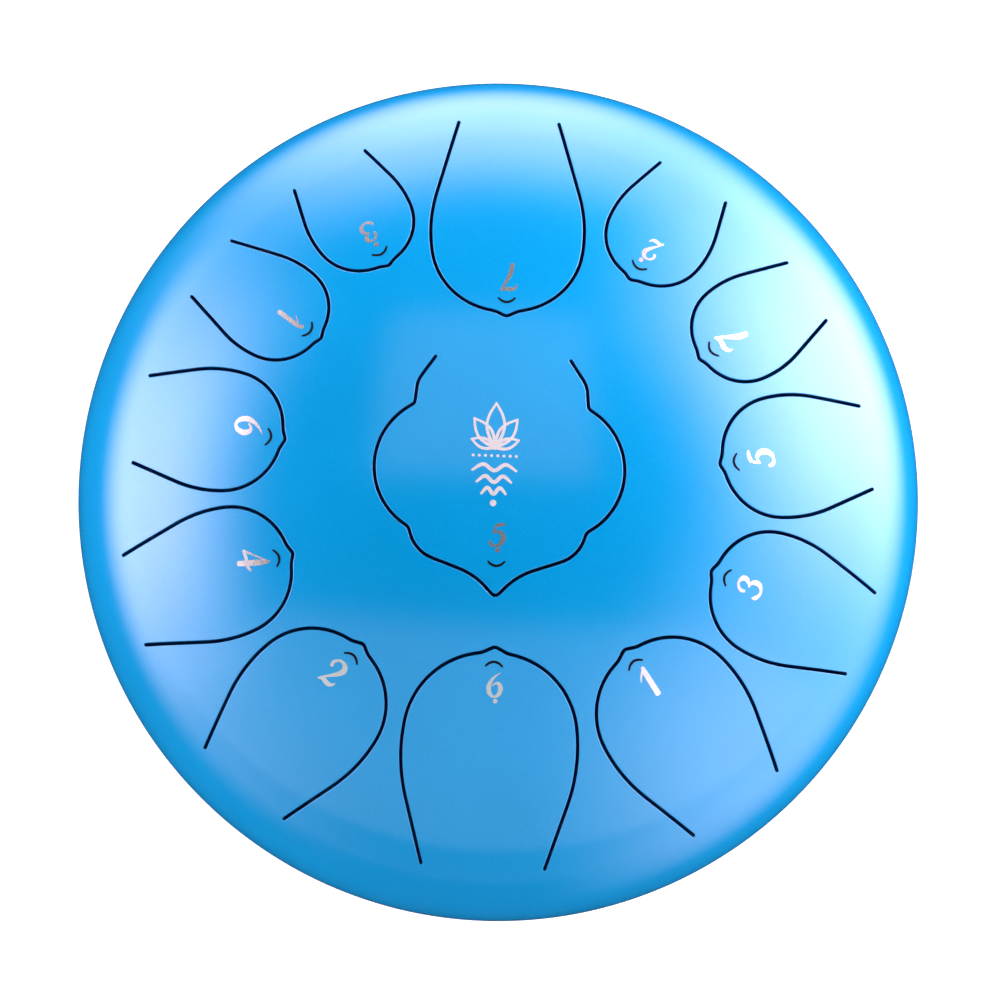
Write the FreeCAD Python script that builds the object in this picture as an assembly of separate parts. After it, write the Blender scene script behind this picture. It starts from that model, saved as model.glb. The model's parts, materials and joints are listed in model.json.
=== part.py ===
import FreeCAD, Part
import math
import os

from FreeCAD import Placement, Rotation, Vector

# A 30 cm steel tongue drum with thirteen notes, in millimetres. The origin lies on the ground under
# the middle of the drum, +Z is up, and the player sits on the -Y side.

# Pressed heads: two dished ends, each a spherical crown, a toroidal knuckle and a short straight flange.
DRUM_RADIUS = 150.0
CROWN_RADIUS = 250.0
KNUCKLE_RADIUS = 50.0
STRAIGHT_FLANGE = 4.0
WALL = 2.0
GROUND_CLEARANCE = 6.0

# Butt weld round the girth: a V groove, filled, ground flush outside, with a low bead inside.
WELD_ROOT_GAP = 0.5
WELD_FACE_WIDTH = 2.8
WELD_BEAD_WIDTH = 2.4
WELD_BEAD_HEIGHT = 0.5

# Slots that free the tongues. The root gap parts each tongue from the shell where the sheet flexes.
SLOT_WIDTH = 1.2
ROOT_GAP = 0.3

# Outline that all twelve ring tongues share, in units of the tongue's half width, angles in degrees
# from the line across the tongue. A small pointed nib at the tip is followed by a round shoulder and
# a long flank, which runs on as a straight line to the end of the slot.
NIB_HALF_WIDTH = 0.15
NIB_ANGLE = 27.0
SHOULDER_START = 6.5
SHOULDER_RADIUS = 0.943
FLANK_START = 80.5
FLANK_RADIUS = 1.967

# Ring tongues: name, bearing of the root's middle, lean of the tongue from the radial line (both in
# degrees, anticlockwise), distance of the root's middle from the axis, length, half width, root width.
RING_TONGUES = (
    ("low_6", -90.6, -0.4, 130.7, 74.5, 30.3, 43.0),
    ("low_7", 90.6, 0.4, 129.5, 72.3, 26.6, 35.2),
    ("1", -50.95, 0.6, 136.2, 65.4, 26.1, 36.9),
    ("2", -129.05, -0.7, 135.1, 62.8, 25.6, 37.0),
    ("3", -19.5, 1.3, 135.3, 57.4, 21.9, 30.2),
    ("4", -161.25, -2.4, 132.8, 57.9, 22.4, 32.2),
    ("5", 8.7, 2.1, 128.6, 53.3, 21.3, 29.5),
    ("6", 170.85, 0.6, 127.3, 51.9, 21.2, 31.1),
    ("7", 35.05, 0.9, 128.0, 47.2, 18.1, 24.5),
    ("high_1", 144.45, 2.7, 127.1, 47.6, 17.8, 24.1),
    ("high_2", 60.0, 0.3, 127.6, 43.8, 18.2, 27.0),
    ("high_3", 120.0, 2.0, 127.1, 42.1, 18.1, 28.5),
)

# Centre tongue, low 5: a pointed ogee tip, a round lobe on each side and a neck, with its tip
# towards the player. Places are measured from its tip: across the tongue, then along it.
CENTRE_TIP = (-0.7, -39.1)
OGEE_TIP_RADIUS = 1.5
OGEE_POINT_LENGTH = 2.9
OGEE_POINT_ANGLE = 47.0
OGEE_HOLLOW_RADIUS = 24.0
OGEE_SHALLOW_ANGLE = 19.5
OGEE_SHALLOW_LENGTH = 9.9
OGEE_CORNER_RADIUS = 12.5
OGEE_STEEP_ANGLE = 72.0
LOBE_LOWER_CORNER = (30.4, 22.6)
LOBE_CENTRE = (18.9, 43.6)
LOBE_UPPER_CORNER = (29.7, 64.9)
NECK_BEND = (29.3, 69.8)
NECK_RADIUS = 9.0
NECK_ANGLE = 124.5
CENTRE_ROOT_WIDTH = 46.4
CENTRE_LENGTH = 81.5

# Sound hole in the lower shell: a round hole inside a ring of petals, each petal two equal arcs.
SOUND_HOLE_RADIUS = 7.5
PETAL_COUNT = 8
PETAL_INNER_POINT = 10.0
PETAL_OUTER_POINT = 21.0
PETAL_HALF_WIDTH = 3.4

# Rubber feet, screwed square to the shell. Depths along a foot's own axis start at the shell's skin.
FOOT_COUNT = 4
FOOT_BEARING = 45.0
FOOT_RING_RADIUS = 66.0
FOOT_TOP_RADIUS = 11.5
FOOT_COLLAR = 2.5
FOOT_TOE_RADIUS = 9.8
FOOT_LENGTH = 22.0
FOOT_SEAT_CLEARANCE = 0.05
FOOT_EDGE_ROUNDING = 0.8
FOOT_COUNTERBORE_RADIUS = 5.2
FOOT_COUNTERBORE_START = 6.0
FOOT_BORE_RADIUS = 2.3
FOOT_RECESS_RADIUS = 4.7
FOOT_RECESS_DEPTH = 1.1

# M4 hardware: pan-head screw, plain washer and blind rivet nut. Threads are plain cylinders.
SCREW_RADIUS = 1.98
SCREW_LENGTH = 16.0
SCREW_HEAD_RADIUS = 4.0
SCREW_HEAD_HEIGHT = 3.1
SCREW_HEAD_EDGE = 1.3
RECESS_WIDTH = 1.1
RECESS_SPAN = 4.4
RECESS_DEPTH = 1.7
WASHER_INNER_RADIUS = 2.15
WASHER_OUTER_RADIUS = 4.5
WASHER_THICKNESS = 0.8
NUT_BORE_RADIUS = 2.02
NUT_BODY_RADIUS = 2.95
NUT_LENGTH = 10.0
NUT_FLANGE_RADIUS = 4.5
NUT_FLANGE_THICKNESS = 1.0
NUT_CRIMP_RADIUS = 4.2
NUT_CRIMP_CLEARANCE = 0.06
NUT_CRIMP_HEIGHT = 2.4
NUT_CRIMP_EDGE = 0.9
NUT_HOLE_RADIUS = 3.0

# Shape of a head above the girth, from the driving dimensions.
KNUCKLE_CENTRE = DRUM_RADIUS - KNUCKLE_RADIUS
TANGENT_ANGLE = math.asin(KNUCKLE_CENTRE / (CROWN_RADIUS - KNUCKLE_RADIUS))
CROWN_CENTRE = STRAIGHT_FLANGE - (CROWN_RADIUS - KNUCKLE_RADIUS) * math.cos(TANGENT_ANGLE)
HEAD_HEIGHT = CROWN_CENTRE + CROWN_RADIUS
GIRTH = GROUND_CLEARANCE + HEAD_HEIGHT

UP = Vector(0, 0, 1)


def revolved(section_edges):
    """Solid of revolution about Z from a closed section in the XZ plane."""
    section = Part.Face(Part.Wire(Part.__sortEdges__(section_edges)))
    return section.revolve(Vector(0, 0, 0), UP, 360)


def turned(corners):
    """Solid of revolution about Z from a polygon of (radius, height) corners."""
    points = [Vector(radius, 0, height) for radius, height in corners]
    return revolved(Part.makePolygon(points + points[:1]).Edges)


def crown_point(angle, depth):
    """Point on a head's crown, `depth` under the outer skin, above the girth plane."""
    radius = CROWN_RADIUS - depth
    return Vector(radius * math.sin(angle), 0, CROWN_CENTRE + radius * math.cos(angle))


def knuckle_point(angle, depth):
    """Point on a head's knuckle, `depth` under the outer skin, above the girth plane."""
    radius = KNUCKLE_RADIUS - depth
    return Vector(KNUCKLE_CENTRE + radius * math.sin(angle), 0, STRAIGHT_FLANGE + radius * math.cos(angle))


def skin_height(distance, depth):
    """Height above the girth of the skin at a distance from the axis, `depth` under the outer skin."""
    if distance <= (CROWN_RADIUS - depth) * math.sin(TANGENT_ANGLE):
        return CROWN_CENTRE + math.sqrt((CROWN_RADIUS - depth) ** 2 - distance ** 2)
    across = distance - KNUCKLE_CENTRE
    return STRAIGHT_FLANGE + math.sqrt((KNUCKLE_RADIUS - depth) ** 2 - across ** 2)


def skin_edges(depth):
    """Crown arc and knuckle arc of a head's section, from the axis outwards."""
    half_tangent = TANGENT_ANGLE / 2
    right_angle = math.pi / 2
    half_knuckle = (TANGENT_ANGLE + right_angle) / 2
    crown = Part.Arc(crown_point(0, depth), crown_point(half_tangent, depth), crown_point(TANGENT_ANGLE, depth))
    knuckle = Part.Arc(
        knuckle_point(TANGENT_ANGLE, depth),
        knuckle_point(half_knuckle, depth),
        knuckle_point(right_angle, depth),
    )
    return [crown.toShape(), knuckle.toShape()]


def head():
    """One pressed head standing on the girth plane, with its weld bevel."""
    inner_radius = DRUM_RADIUS - WALL
    rim = [
        Vector(DRUM_RADIUS, 0, STRAIGHT_FLANGE),
        Vector(DRUM_RADIUS, 0, WELD_FACE_WIDTH / 2),
        Vector(inner_radius, 0, WELD_ROOT_GAP / 2),
        Vector(inner_radius, 0, STRAIGHT_FLANGE),
    ]
    axis_line = Part.makeLine(crown_point(0, 0), crown_point(0, WALL))
    return revolved(skin_edges(0) + Part.makePolygon(rim).Edges + skin_edges(WALL) + [axis_line])


def girth_weld():
    """Weld metal in the V groove, with the bead that stands proud inside the drum."""
    inner_radius = DRUM_RADIUS - WALL
    groove = [
        Vector(inner_radius, 0, WELD_BEAD_WIDTH / 2),
        Vector(inner_radius, 0, WELD_ROOT_GAP / 2),
        Vector(DRUM_RADIUS, 0, WELD_FACE_WIDTH / 2),
        Vector(DRUM_RADIUS, 0, -WELD_FACE_WIDTH / 2),
        Vector(inner_radius, 0, -WELD_ROOT_GAP / 2),
        Vector(inner_radius, 0, -WELD_BEAD_WIDTH / 2),
    ]
    bead = Part.Arc(groove[-1], Vector(inner_radius - WELD_BEAD_HEIGHT, 0, 0), groove[0])
    weld = revolved(Part.makePolygon(groove).Edges + [bead.toShape()])
    return weld.translated(Vector(0, 0, GIRTH))


class Outline:
    """Half an outline, drawn from the tip: x runs across the tongue and y along it."""

    def __init__(self):
        self.point = Vector(0, 0, 0)
        self.edges = []

    def line_to(self, target):
        self.edges.append(Part.makeLine(self.point, target))
        self.point = target

    def line(self, length, angle):
        """Straight run at an angle in degrees from the line across the tongue."""
        angle = math.radians(angle)
        self.line_to(self.point + Vector(math.cos(angle), math.sin(angle), 0) * length)

    def arc(self, radius, start, end):
        """Arc whose direction turns from start to end, in degrees, convex outwards if end is larger."""
        side = 1 if end > start else -1
        start_normal = math.radians(start)
        end_normal = math.radians(end)
        centre = self.point + Vector(-math.sin(start_normal), math.cos(start_normal), 0) * radius * side

        def at(angle):
            return centre - Vector(-math.sin(angle), math.cos(angle), 0) * radius * side

        self.arc_through(at((start_normal + end_normal) / 2), at(end_normal))

    def arc_through(self, middle, target):
        self.edges.append(Part.Arc(self.point, middle, target).toShape())
        self.point = target

    def both_sides(self):
        """Open wire from one end of the slot round the tip to the other end."""
        mirrored = [edge.mirror(Vector(0, 0, 0), Vector(1, 0, 0)) for edge in self.edges]
        return Part.Wire(Part.__sortEdges__(self.edges + mirrored))


def ring_tongue_outline(length, half_width, root_width):
    """Middle line of the slot round a ring tongue, tip at the origin, root along +Y."""
    outline = Outline()
    outline.line(NIB_HALF_WIDTH * half_width / math.cos(math.radians(NIB_ANGLE)), NIB_ANGLE)
    outline.arc(SHOULDER_RADIUS * half_width, SHOULDER_START, FLANK_START)

    # The flank arc ends where its tangent passes through the end of the slot.
    radius = FLANK_RADIUS * half_width
    start = math.radians(FLANK_START)
    centre = outline.point + Vector(-math.sin(start), math.cos(start), 0) * radius
    slot_end = Vector(root_width / 2, length, 0)
    to_end = slot_end - centre
    straight = math.sqrt(to_end.Length ** 2 - radius ** 2)
    flank_end = math.degrees(math.atan2(to_end.y, to_end.x) - math.atan2(straight, radius)) + 90
    outline.arc(radius, FLANK_START, flank_end)
    outline.line_to(slot_end)
    return outline.both_sides()


def centre_tongue_outline():
    """Middle line of the slot round the centre tongue, tip at the origin, root along +Y."""
    outline = Outline()
    outline.arc(OGEE_TIP_RADIUS, 0, OGEE_POINT_ANGLE)
    outline.line(OGEE_POINT_LENGTH, OGEE_POINT_ANGLE)
    outline.arc(OGEE_HOLLOW_RADIUS, OGEE_POINT_ANGLE, OGEE_SHALLOW_ANGLE)
    outline.line(OGEE_SHALLOW_LENGTH, OGEE_SHALLOW_ANGLE)
    outline.arc(OGEE_CORNER_RADIUS, OGEE_SHALLOW_ANGLE, OGEE_STEEP_ANGLE)
    outline.line_to(Vector(*LOBE_LOWER_CORNER, 0))

    lobe_centre = Vector(*LOBE_CENTRE, 0)
    lobe_radius = (outline.point - lobe_centre).Length
    outline.arc_through(lobe_centre + Vector(lobe_radius, 0, 0), Vector(*LOBE_UPPER_CORNER, 0))

    # The neck runs along the tongue, then bends inwards to the end of the slot.
    outline.line_to(Vector(*NECK_BEND, 0))
    outline.arc(NECK_RADIUS, 90, NECK_ANGLE)
    outline.line_to(Vector(CENTRE_ROOT_WIDTH / 2, CENTRE_LENGTH, 0))
    return outline.both_sides()


def placed_outlines():
    """Every tongue's slot line in its place on the drum, as (name, wire, root middle, direction)."""
    placed = []
    for name, bearing, lean, root_distance, length, half_width, root_width in RING_TONGUES:
        bearing_angle = math.radians(bearing)
        direction_angle = math.radians(bearing + lean)
        direction = Vector(math.cos(direction_angle), math.sin(direction_angle), 0)
        root = Vector(math.cos(bearing_angle), math.sin(bearing_angle), 0) * root_distance
        wire = ring_tongue_outline(length, half_width, root_width)
        wire.Placement = Placement(root - direction * length, Rotation(UP, bearing + lean - 90))
        placed.append((name, wire, root, direction))

    tip = Vector(*CENTRE_TIP, 0)
    wire = centre_tongue_outline()
    wire.Placement = Placement(tip, Rotation())
    placed.append(("low_5", wire, tip + Vector(0, CENTRE_LENGTH, 0), Vector(0, 1, 0)))
    return placed


def only_face(shape):
    """The single face that a boolean operation left."""
    if len(shape.Faces) != 1:
        raise ValueError("expected one face, found %d" % len(shape.Faces))
    return shape.Faces[0]


def flat_faces(wire, direction):
    """Plan views of a tongue and of the opening it sits in."""
    ends = [vertex.Point for vertex in wire.OrderedVertexes]
    root_line = Part.makeLine(ends[0], ends[-1])
    inside = Part.Face(Part.Wire(wire.OrderedEdges + [root_line]))
    slot = Part.Face(wire.makeOffset2D(SLOT_WIDTH / 2))
    half_gap = direction * (ROOT_GAP / 2)
    corners = [ends[0] - half_gap, ends[-1] - half_gap, ends[-1] + half_gap, ends[0] + half_gap]
    root_strip = Part.Face(Part.makePolygon(corners + corners[:1]))
    opening = inside.fuse([slot, root_strip]).removeSplitter()
    tongue = inside.cut([slot, root_strip])
    return only_face(tongue), only_face(opening)


def prism(flat):
    """Upright prism through the upper head, from a plan view."""
    return flat.extrude(UP * HEAD_HEIGHT).translated(Vector(0, 0, GIRTH + STRAIGHT_FLANGE))


def only_solid(shape):
    """The single solid that a boolean operation left."""
    if len(shape.Solids) != 1:
        raise ValueError("expected one solid, found %d" % len(shape.Solids))
    return shape.Solids[0]


def upper_shell_and_tongues():
    """The playing side: the upper head, cut into the shell and its tongues."""
    upper_head = head().translated(Vector(0, 0, GIRTH))
    tongues = {}
    openings = []
    for name, wire, _root, direction in placed_outlines():
        tongue, opening = flat_faces(wire, direction)
        tongues["tongue_" + name] = only_solid(upper_head.common(prism(tongue)))
        openings.append(prism(opening))
    return only_solid(upper_head.cut(openings)), tongues


def petal():
    """Plan view of one petal of the sound hole, pointing along +X."""
    inner = Vector(PETAL_INNER_POINT, 0, 0)
    outer = Vector(PETAL_OUTER_POINT, 0, 0)
    middle = (inner + outer) / 2
    left = Part.Arc(inner, middle + Vector(0, PETAL_HALF_WIDTH, 0), outer)
    right = Part.Arc(outer, middle - Vector(0, PETAL_HALF_WIDTH, 0), inner)
    return Part.Face(Part.Wire([left.toShape(), right.toShape()]))


def foot_placements():
    """Frames of the feet: origin on the lower shell's skin, +Z square to it and outwards."""
    drop = skin_height(FOOT_RING_RADIUS, 0)
    slope = math.asin(FOOT_RING_RADIUS / CROWN_RADIUS)
    placements = []
    for index in range(FOOT_COUNT):
        bearing = math.radians(FOOT_BEARING + index * 360 / FOOT_COUNT)
        outwards = Vector(math.cos(bearing), math.sin(bearing), 0)
        normal = outwards * math.sin(slope) - UP * math.cos(slope)
        place = outwards * FOOT_RING_RADIUS + Vector(0, 0, GIRTH - drop)
        placements.append(Placement(place, Rotation(UP, normal)))
    return placements


def lower_shell():
    """The lower head, with the sound hole and the holes for the rivet nuts."""
    lower_head = head().mirror(Vector(0, 0, 0), UP).translated(Vector(0, 0, GIRTH))
    cutters = [Part.makeCylinder(SOUND_HOLE_RADIUS, GIRTH)]
    for index in range(PETAL_COUNT):
        turned_petal = petal().rotated(Vector(0, 0, 0), UP, index * 360 / PETAL_COUNT)
        cutters.append(turned_petal.extrude(UP * GIRTH))
    for placement in foot_placements():
        drill = Part.makeCylinder(NUT_HOLE_RADIUS, 4 * WALL, Vector(0, 0, -3 * WALL))
        drill.Placement = placement
        cutters.append(drill)
    return only_solid(lower_head.cut(cutters))


def rubber_foot(placement):
    """A tapered rubber foot, seated on the shell and cut flat where it meets the ground."""
    foot = turned([
        (FOOT_RECESS_RADIUS, -WALL),
        (FOOT_TOP_RADIUS, -WALL),
        (FOOT_TOP_RADIUS, FOOT_COLLAR),
        (FOOT_TOE_RADIUS, FOOT_LENGTH),
        (FOOT_COUNTERBORE_RADIUS, FOOT_LENGTH),
        (FOOT_COUNTERBORE_RADIUS, FOOT_COUNTERBORE_START),
        (FOOT_BORE_RADIUS, FOOT_COUNTERBORE_START),
        (FOOT_BORE_RADIUS, FOOT_RECESS_DEPTH),
        (FOOT_RECESS_RADIUS, FOOT_RECESS_DEPTH),
    ])
    foot.Placement = placement
    shell_ball = Part.makeSphere(CROWN_RADIUS + FOOT_SEAT_CLEARANCE, Vector(0, 0, GIRTH - CROWN_CENTRE))
    above_ground = Part.makeBox(4 * DRUM_RADIUS, 4 * DRUM_RADIUS, GIRTH)
    above_ground.translate(Vector(-2 * DRUM_RADIUS, -2 * DRUM_RADIUS, 0))
    foot = only_solid(foot.cut(shell_ball).common(above_ground))
    toe_edge = max(
        (edge for edge in foot.Edges if abs(edge.BoundBox.ZMax) < 1e-3),
        key=lambda edge: edge.Length,
    )
    return only_solid(foot.makeFillet(FOOT_EDGE_ROUNDING, [toe_edge]))


def foot_washer(placement):
    """Plain washer on the floor of the foot's counterbore."""
    top = FOOT_COUNTERBORE_START + WASHER_THICKNESS
    washer = turned([
        (WASHER_INNER_RADIUS, FOOT_COUNTERBORE_START),
        (WASHER_OUTER_RADIUS, FOOT_COUNTERBORE_START),
        (WASHER_OUTER_RADIUS, top),
        (WASHER_INNER_RADIUS, top),
    ])
    washer.Placement = placement
    return washer


def foot_screw(placement):
    """Pan-head screw with a cross recess, from below through the foot into the rivet nut."""
    seat = FOOT_COUNTERBORE_START + WASHER_THICKNESS
    crown = seat + SCREW_HEAD_HEIGHT
    axis_end = Vector(0, 0, seat - SCREW_LENGTH)
    corners = [
        axis_end,
        Vector(SCREW_RADIUS, 0, seat - SCREW_LENGTH),
        Vector(SCREW_RADIUS, 0, seat),
        Vector(SCREW_HEAD_RADIUS, 0, seat),
        Vector(SCREW_HEAD_RADIUS, 0, seat + SCREW_HEAD_EDGE),
    ]
    shoulder = Vector(SCREW_HEAD_RADIUS * 0.72, 0, seat + SCREW_HEAD_HEIGHT * 0.82)
    dome = Part.Arc(corners[-1], shoulder, Vector(0, 0, crown)).toShape()
    axis_line = Part.makeLine(Vector(0, 0, crown), axis_end)
    screw = revolved(Part.makePolygon(corners).Edges + [dome, axis_line])
    bars = []
    for span, width in ((RECESS_SPAN, RECESS_WIDTH), (RECESS_WIDTH, RECESS_SPAN)):
        bars.append(Part.makeBox(span, width, SCREW_LENGTH, Vector(-span / 2, -width / 2, crown - RECESS_DEPTH)))
    screw = only_solid(screw.cut(bars))
    screw.Placement = placement
    return screw


def rivet_nut(placement):
    """Blind rivet nut: flange outside the shell, crimped body inside."""
    crimp_top = -WALL - NUT_CRIMP_CLEARANCE
    nut = turned([
        (NUT_BORE_RADIUS, NUT_FLANGE_THICKNESS),
        (NUT_FLANGE_RADIUS, NUT_FLANGE_THICKNESS),
        (NUT_FLANGE_RADIUS, 0),
        (NUT_BODY_RADIUS, 0),
        (NUT_BODY_RADIUS, crimp_top),
        (NUT_CRIMP_RADIUS, crimp_top),
        (NUT_CRIMP_RADIUS, crimp_top - NUT_CRIMP_EDGE),
        (NUT_BODY_RADIUS, crimp_top - NUT_CRIMP_HEIGHT),
        (NUT_BODY_RADIUS, -NUT_LENGTH),
        (NUT_BORE_RADIUS, -NUT_LENGTH),
    ])
    nut.Placement = placement
    return nut


def build():
    """Every sub-part of the drum by name."""
    upper_shell, tongues = upper_shell_and_tongues()
    nodes = {"upper_shell": upper_shell, "lower_shell": lower_shell(), "girth_weld": girth_weld()}
    nodes.update(tongues)
    for number, placement in enumerate(foot_placements(), start=1):
        nodes["rubber_foot_%d" % number] = rubber_foot(placement)
        nodes["foot_washer_%d" % number] = foot_washer(placement)
        nodes["foot_screw_%d" % number] = foot_screw(placement)
        nodes["rivet_nut_%d" % number] = rivet_nut(placement)
    return nodes


os.makedirs("parts", exist_ok=True)
for node_name, node_shape in build().items():
    node_shape.exportStep("parts/%s.step" % node_name)
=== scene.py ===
import json
import math

import bpy
import numpy as np
from mathutils import Matrix, Vector
from mathutils.geometry import delaunay_2d_cdt
from mathutils.kdtree import KDTree


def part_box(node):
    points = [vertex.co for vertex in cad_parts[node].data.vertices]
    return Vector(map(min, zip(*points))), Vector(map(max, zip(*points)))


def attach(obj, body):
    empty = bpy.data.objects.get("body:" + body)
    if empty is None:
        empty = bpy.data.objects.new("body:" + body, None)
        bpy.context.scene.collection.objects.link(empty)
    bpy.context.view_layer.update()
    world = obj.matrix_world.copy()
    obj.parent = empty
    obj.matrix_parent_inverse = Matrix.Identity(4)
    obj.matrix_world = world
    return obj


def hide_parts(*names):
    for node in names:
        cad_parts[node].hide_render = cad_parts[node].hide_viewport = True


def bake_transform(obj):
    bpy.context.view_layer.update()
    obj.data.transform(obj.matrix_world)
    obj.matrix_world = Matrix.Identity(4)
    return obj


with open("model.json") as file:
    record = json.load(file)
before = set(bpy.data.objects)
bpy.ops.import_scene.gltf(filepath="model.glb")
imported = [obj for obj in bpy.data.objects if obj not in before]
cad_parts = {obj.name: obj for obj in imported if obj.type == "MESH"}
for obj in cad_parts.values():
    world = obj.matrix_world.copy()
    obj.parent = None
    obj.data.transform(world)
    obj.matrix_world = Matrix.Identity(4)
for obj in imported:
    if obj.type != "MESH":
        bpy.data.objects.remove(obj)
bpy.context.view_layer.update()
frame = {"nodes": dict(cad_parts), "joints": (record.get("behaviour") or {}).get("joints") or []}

# The looks of a 30 cm steel tongue drum. Lengths are in metres, in the frame's own axes: +Z is up,
# the drum stands on z = 0 and the player sits on the -Y side.
MM = 0.001

# Pressed heads. Heights on a head are measured from the girth plane.
DRUM_RADIUS = 150 * MM
CROWN_RADIUS = 250 * MM
KNUCKLE_RADIUS = 50 * MM
STRAIGHT_FLANGE = 4 * MM
WALL = 2 * MM
INNER_RADIUS = DRUM_RADIUS - WALL
WELD_FACE_WIDTH = 2.8 * MM
WELD_ROOT_GAP = 0.5 * MM
WELD_BEAD_WIDTH = 2.4 * MM
WELD_BEAD_HEIGHT = 0.5 * MM
WELD_CROWN = 0.12 * MM

SLOT_WIDTH = 1.2 * MM
SLOT_EDGE = 0.22 * MM
HOLE_EDGE = 0.35 * MM

# Outline that the twelve ring tongues share: lengths in tongue half widths, angles in degrees.
NIB_HALF_WIDTH = 0.15
NIB_ANGLE = 27.0
SHOULDER_START = 6.5
SHOULDER_RADIUS = 0.943
FLANK_START = 80.5
FLANK_RADIUS = 1.967

# Ring tongues, in millimetres: length, half width, root width. Their places come from the joints.
RING_TONGUES = {
    "low_6": (74.5, 30.3, 43.0),
    "low_7": (72.3, 26.6, 35.2),
    "1": (65.4, 26.1, 36.9),
    "2": (62.8, 25.6, 37.0),
    "3": (57.4, 21.9, 30.2),
    "4": (57.9, 22.4, 32.2),
    "5": (53.3, 21.3, 29.5),
    "6": (51.9, 21.2, 31.1),
    "7": (47.2, 18.1, 24.5),
    "high_1": (47.6, 17.8, 24.1),
    "high_2": (43.8, 18.2, 27.0),
    "high_3": (42.1, 18.1, 28.5),
}

# Centre tongue, in millimetres and degrees. Points are across the tongue, then along it from its tip.
OGEE_TIP_RADIUS = 1.5
OGEE_POINT_LENGTH = 2.9
OGEE_POINT_ANGLE = 47.0
OGEE_HOLLOW_RADIUS = 24.0
OGEE_SHALLOW_ANGLE = 19.5
OGEE_SHALLOW_LENGTH = 9.9
OGEE_CORNER_RADIUS = 12.5
OGEE_STEEP_ANGLE = 72.0
LOBE_LOWER_CORNER = (30.4, 22.6)
LOBE_CENTRE = (18.9, 43.6)
LOBE_UPPER_CORNER = (29.7, 64.9)
NECK_BEND = (29.3, 69.8)
NECK_RADIUS = 9.0
NECK_ANGLE = 124.5
CENTRE_ROOT_WIDTH = 46.4
CENTRE_LENGTH = 81.5

# Sound hole in the lower shell and the feet.
SOUND_HOLE_RADIUS = 7.5 * MM
PETAL_COUNT = 8
PETAL_INNER_POINT = 10 * MM
PETAL_OUTER_POINT = 21 * MM
PETAL_HALF_WIDTH = 3.4 * MM
FOOT_COUNT = 4
FOOT_BEARING = 45.0
FOOT_RING_RADIUS = 66 * MM
NUT_HOLE_RADIUS = 3 * MM

# Meshing.
AROUND = 480
RIM_START = 141 * MM
LOWER_RIM_START = 90 * MM
CROWN_SPACING = 4 * MM
KNUCKLE_SPACING = 2.6 * MM
KNUCKLE_BAND = 118 * MM
RING_PITCH = 0.9
FIELD_CLEARANCE = 1.6 * MM
SHELL_FIELD_CLEARANCE = 1.17 * MM
OUTLINE_STEP = 0.4 * MM
OUTLINE_SOFTENING = 0.7 * MM
SOFTENING_REACH = 6
OUTLINE_SPACING = 1.5 * MM
OUTLINE_TURN = math.radians(7)
ROOT_STEP = 2 * MM
ROOT_BOW = 0.4 * MM
CROWN_RIM_STEPS = 10
KNUCKLE_LEAST_STEPS = 8
KNUCKLE_STEP = math.radians(5)
WELD_STEPS = 4
BEAD_STEPS = 6
SLOT_END_POINTS = 9
STROKE_END_POINTS = 7
PETAL_POINTS = 40
SOUND_HOLE_SIDES = 72
NUT_HOLE_SIDES = 24
DISC_SIDES = 28

RIGHT_ANGLE = math.pi / 2

# How far the middle of a rounded edge lies in from its corner, as a share of its radius.
ROUND_MIDDLE = 1 - math.sqrt(0.5)

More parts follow.
